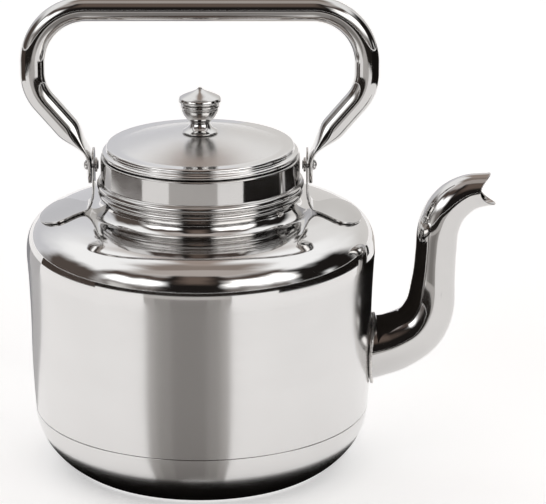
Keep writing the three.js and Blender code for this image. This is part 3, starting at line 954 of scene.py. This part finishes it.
def floor():
    material, tree = new_material("pale_floor")
    place = object_place(tree)
    cloud = noise(tree, place, 3.0, 2.0)
    colour = tinted(tree, cloud, (0.9, 0.9, 0.9), (0.93, 0.93, 0.93))
    glow = {"Emission Color": (1.0, 1.0, 1.0, 1.0), "Emission Strength": TABLE_GLOW}
    shader = add_node(tree, "ShaderNodeBsdfPrincipled", {"Base Color": colour, "Roughness": 0.8, **glow})
    add_node(tree, "ShaderNodeOutputMaterial", {"Surface": shader.outputs["BSDF"]})
    corners = [(x * TABLE_REACH, y * TABLE_REACH, 0) for x, y in ((-1, -1), (1, -1), (1, 1), (-1, 1))]
    obj = mesh_object("floor", (corners, [[0, 1, 2, 3]]))
    obj.data.materials.append(material)


def flag(name, vertices, faces, shade):
    """A photographer's flag. The camera doesn't see it: it shows only as a reflection in the steel."""
    material, tree = new_material(f"{name}_cloth")
    shader = add_node(tree, "ShaderNodeBsdfDiffuse", {"Color": (*shade, 1.0)})
    add_node(tree, "ShaderNodeOutputMaterial", {"Surface": shader.outputs["BSDF"]})
    obj = mesh_object(name, (vertices, faces))
    obj.data.materials.append(material)
    obj.visible_camera = False
    obj.visible_diffuse = False
    obj.visible_shadow = False


FLAG_APEX_Y = -62               # most flags fan out from this point on the kettle's middle plane
BLACK = (0.015, 0.013, 0.012)
# black of the disc under the foot: painted shade for the floor the kettle shades, seen in the base's
# reflection
FOOT_SHADE_BLACK = (0.015, 0.014, 0.013)
BAND_EDGE = (0.66, 0.65, 0.64)
BAND_SIDE = (0.5, 0.49, 0.48)
BAND_MIDDLE = (0.4, 0.39, 0.38)

# Flags lying round the kettle: name; azimuth from and to in degrees; distance from and to, the Y that the
# distance is measured from, and height, all in millimetres; and the shade.
FLAGS = (
    # The foot flag is a black disc under the base, seen only in the steel: painted shade standing in for
    # the shaded floor under the kettle.
    ("foot_shade_flag", -180, 180, 0, 118, 0, 1.5, FOOT_SHADE_BLACK),
    ("near_flag_a", -36, -29, 58, 690, FLAG_APEX_Y, 1, BAND_EDGE),
    ("near_flag_b", -29, -19, 58, 690, FLAG_APEX_Y, 1, BAND_SIDE),
    ("near_flag_c", -19, 5, 58, 690, FLAG_APEX_Y, 1, BAND_MIDDLE),
    ("near_flag_d", 5, 14, 58, 690, FLAG_APEX_Y, 1, BAND_SIDE),
    ("near_flag_e", 14, 21, 58, 690, FLAG_APEX_Y, 1, BAND_EDGE),
    ("middle_flag", -36, 21, 690, 1090, FLAG_APEX_Y, 1, (0.84, 0.83, 0.82)),
    ("front_flag", -70, 52, 1090, 9000, FLAG_APEX_Y, 1, (0.03, 0.026, 0.023)),
    ("right_flag", 52, 140, 740, 9000, FLAG_APEX_Y, 1, BLACK),
    ("left_flag", -122, -70, 860, 9000, FLAG_APEX_Y, 1, (0.1, 0.08, 0.07)),
    ("left_edge_flag", -180, -141, 119, 850, 0, 1, (0.42, 0.43, 0.46)),
    ("left_side_flag", -141, -119, 119, 850, 0, 1, (0.78, 0.785, 0.8)),
    ("right_edge_flag", 150, 180, 119, 900, 0, 1, (0.8, 0.78, 0.75)),
)

# Place of the black card between the wall and the spout: painted shade for the spout's near side.
CARD_X = 121                    # just clear of the wall
CARD_Y = (-34, 60)
CARD_Z = (94, 150)


def flags():
    """The flags on the table, each a part of a ring."""
    for name, start, end, near, far, apex_y, height, shade in FLAGS:
        angles = [math.radians(a) for a in spread(start, end, 48)]
        rims = [(r * math.sin(a), apex_y - r * math.cos(a), height) for r in (near, far) for a in angles]
        size = len(angles)
        faces = [[j, j + 1, size + j + 1, size + j] for j in range(size - 1)]
        flag(name, rims, faces, shade)


def spout_shade_card():
    """A black card held upright between the wall and the spout, seen only in the steel: painted shade that
    darkens the spout's near side, where it faces the wall.
    """
    corners = [(CARD_X, y, CARD_Z[0]) for y in CARD_Y] + [(CARD_X, y, CARD_Z[1]) for y in CARD_Y[::-1]]
    flag("spout_shade_card", corners, [[0, 1, 2, 3]], (0.02, 0.017, 0.015))


def in_window(tree, value, low, high, soft):
    """1 between two values and 0 beyond them, with soft edges."""
    rise = remap(tree, value, low - soft, low + soft, 0.0, 1.0, "SMOOTHSTEP")
    fall = remap(tree, value, high - soft, high + soft, 1.0, 0.0, "SMOOTHSTEP")
    return maths(tree, "MULTIPLY", rise, fall)


TENT_CLOTH = (1.15, 1.15, 1.15)

# Panels of the light tent: azimuth from and to (0 is towards the camera, right is positive), elevation
# from and to, and softness of the edges, all in degrees; and the colour. Later ones lie over earlier ones.
PANELS = (
    (-200, -118, -30, 28, 16, (0.7, 0.7, 0.73)),
    (120, 200, -30, 28, 16, (0.76, 0.74, 0.72)),
    (-200, 200, 68, 100, 9, (0.3, 0.25, 0.22)),
    (-200, -167, 34, 75, 8, (0.4, 0.33, 0.29)),
    (169, 200, 34, 75, 8, (0.4, 0.33, 0.29)),
    (-76, 76, 52, 100, 14, (0.5, 0.45, 0.42)),
    (-76, 76, 28, 55, 6, (0.1, 0.075, 0.065)),
    (-68, 62, -30, 11, 5, (0.2, 0.18, 0.17)),
    (-62, -46, -30, 5, 6, (0.8, 0.78, 0.76)),
    (32, 46, -30, 6, 6, (0.6, 0.58, 0.56)),
    (-27, 19, -40, 60, 5, (0.015, 0.013, 0.012)),
    (-15, 10, 28, 60, 9, (0.16, 0.12, 0.1)),
    (-122, -68, -30, 32, 9, (0.1, 0.08, 0.07)),
    (64, 124, -40, 40, 9, (0.014, 0.012, 0.011)),
    (88, 96, -2, 9, 5, (1.0, 1.0, 1.0)),
    (-64, -25, 16, 34, 6, (2.2, 2.2, 2.2)),
    (20, 68, 15, 40, 6, (2.2, 2.16, 2.12)),
)
FOLD = 9                        # most by which folds in the cloth move the panels' edges, in degrees


def light_tent():
    """A white tent lit from outside, with a dark opening for the camera and dark sides."""
    world = bpy.data.worlds.new("light_tent")
    bpy.context.scene.world = world
    world.use_nodes = True
    tree = world.node_tree
    tree.nodes.clear()
    direction = add_node(tree, "ShaderNodeTexCoord").outputs["Generated"]
    xyz = add_node(tree, "ShaderNodeSeparateXYZ", {"Vector": direction}).outputs
    folds = maths(tree, "SUBTRACT", noise(tree, direction, 2.6, 3.0, 0.55), 0.5)
    sag = maths(tree, "SUBTRACT", noise(tree, direction, 3.4, 2.0, 0.5), 0.5)
    toward = maths(tree, "MULTIPLY", xyz["Y"], -1.0)
    azimuth = maths(tree, "DEGREES", maths(tree, "ARCTAN2", xyz["X"], toward))
    azimuth = maths(tree, "ADD", azimuth, maths(tree, "MULTIPLY", folds, 2.0 * FOLD))
    elevation = maths(tree, "DEGREES", maths(tree, "ARCSINE", xyz["Z"]))
    elevation = maths(tree, "ADD", elevation, maths(tree, "MULTIPLY", sag, 2.0 * FOLD))
    colour = TENT_CLOTH
    for az_low, az_high, el_low, el_high, soft, shade in PANELS:
        inside = maths(
            tree, "MULTIPLY",
            in_window(tree, azimuth, az_low, az_high, soft),
            in_window(tree, elevation, el_low, el_high, soft),
        )
        colour = tinted(tree, inside, colour, shade)
    background = add_node(tree, "ShaderNodeBackground", {"Color": colour, "Strength": 1.0})
    add_node(tree, "ShaderNodeOutputWorld", {"Surface": background.outputs["Background"]})


CAMERA_PLACE = (0.0495, -2.1106, 0.8322)
CAMERA_TILT = 72.06
CAMERA_LENS = 212.7


def camera():
    """The photo's view: from the front, about 18 degrees above level, through a long lens."""
    data = bpy.data.cameras.new("camera")
    data.sensor_fit = "HORIZONTAL"
    data.sensor_width = 36
    data.lens = CAMERA_LENS
    obj = bpy.data.objects.new("camera", data)
    obj.location = CAMERA_PLACE
    obj.rotation_euler = (math.radians(CAMERA_TILT), 0, 0)
    bpy.context.scene.collection.objects.link(obj)
    bpy.context.scene.camera = obj
    bpy.context.scene.view_settings.view_transform = "Standard"


camera()
build_kettle()
floor()
flags()
spout_shade_card()
light_tent()
